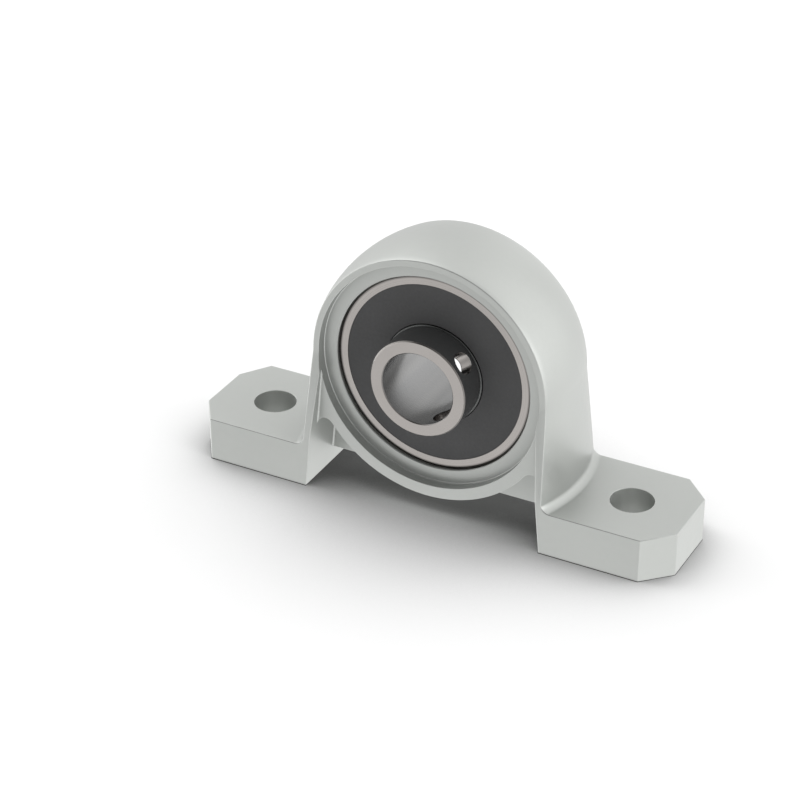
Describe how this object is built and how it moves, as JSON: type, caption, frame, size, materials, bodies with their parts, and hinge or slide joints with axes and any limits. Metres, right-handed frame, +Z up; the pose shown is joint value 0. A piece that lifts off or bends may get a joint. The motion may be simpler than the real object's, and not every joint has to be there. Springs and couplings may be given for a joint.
{
  "type": "pillow block bearing",
  "caption": "Self-aligning pillow block: two-bolt cast housing with a crowned arch, holding a sealed ball bearing whose long-collar inner ring carries a shaft held by set screws.",
  "frame": {"origin": "midway between the two bolt holes, on the base plane", "axes": "+X along the base from bolt hole to bolt hole, -Y along the shaft towards the collar of the inner ring, +Z up from the base plane"},
  "size_m": [0.055, 0.0137, 0.0299],
  "materials": {
    "housing": "satin die-cast",
    "ring_steel": "ground",
    "collar_steel": "turned, bore polished",
    "ball_steel": "mirror polished",
    "cage_steel": "pressed sheet",
    "seal_rubber": "matte moulded",
    "core_steel": "plain sheet"
  },
  "bodies": {
    "housing": {"housing": "housing"},
    "outer_ring": {"outer_ring": "ring_steel", "seal_front": "seal_rubber", "seal_rear": "seal_rubber", "seal_core_front": "core_steel", "seal_core_rear": "core_steel"},
    "inner_ring": {"inner_ring": "collar_steel"},
    "cage": {"cage_front": "cage_steel", "cage_rear": "cage_steel", "cage_rivets": "cage_steel"},
    "ball_1": {"ball_1": "ball_steel"},
    "ball_2": {"ball_2": "ball_steel"},
    "ball_3": {"ball_3": "ball_steel"},
    "ball_4": {"ball_4": "ball_steel"},
    "ball_5": {"ball_5": "ball_steel"},
    "ball_6": {"ball_6": "ball_steel"},
    "ball_7": {"ball_7": "ball_steel"}
  },
  "joints": [
    {"name": "align_tilt", "type": "hinge", "parent": "housing", "child": "outer_ring", "pos_m": [0, 0, 0.0159], "axis": [1, 0, 0], "range_deg": [-2.5, 2.5]},
    {"name": "shaft_spin", "type": "hinge", "parent": "outer_ring", "child": "inner_ring", "pos_m": [0, 0, 0.0159], "axis": [0, 1, 0], "continuous": true},
    {"name": "cage_spin", "type": "hinge", "parent": "outer_ring", "child": "cage", "pos_m": [0, 0, 0.0159], "axis": [0, 1, 0], "continuous": true},
    {"name": "ball_1_roll", "type": "hinge", "parent": "cage", "child": "ball_1", "pos_m": [0, 0, 0.0234], "axis": [0, 1, 0], "continuous": true},
    {"name": "ball_2_roll", "type": "hinge", "parent": "cage", "child": "ball_2", "pos_m": [-0.00586, 0, 0.02058], "axis": [0, 1, 0], "continuous": true},
    {"name": "ball_3_roll", "type": "hinge", "parent": "cage", "child": "ball_3", "pos_m": [-0.00731, 0, 0.01423], "axis": [0, 1, 0], "continuous": true},
    {"name": "ball_4_roll", "type": "hinge", "parent": "cage", "child": "ball_4", "pos_m": [-0.00325, 0, 0.00914], "axis": [0, 1, 0], "continuous": true},
    {"name": "ball_5_roll", "type": "hinge", "parent": "cage", "child": "ball_5", "pos_m": [0.00325, 0, 0.00914], "axis": [0, 1, 0], "continuous": true},
    {"name": "ball_6_roll", "type": "hinge", "parent": "cage", "child": "ball_6", "pos_m": [0.00731, 0, 0.01423], "axis": [0, 1, 0], "continuous": true},
    {"name": "ball_7_roll", "type": "hinge", "parent": "cage", "child": "ball_7", "pos_m": [0.00586, 0, 0.02058], "axis": [0, 1, 0], "continuous": true}
  ],
  "couplings": [
    {"joint": "cage_spin", "follows": "shaft_spin", "ratio": 0.3677},
    {"joint": "ball_1_roll", "follows": "shaft_spin", "ratio": -1.7573},
    {"joint": "ball_2_roll", "follows": "shaft_spin", "ratio": -1.7573},
    {"joint": "ball_3_roll", "follows": "shaft_spin", "ratio": -1.7573},
    {"joint": "ball_4_roll", "follows": "shaft_spin", "ratio": -1.7573},
    {"joint": "ball_5_roll", "follows": "shaft_spin", "ratio": -1.7573},
    {"joint": "ball_6_roll", "follows": "shaft_spin", "ratio": -1.7573},
    {"joint": "ball_7_roll", "follows": "shaft_spin", "ratio": -1.7573}
  ]
}
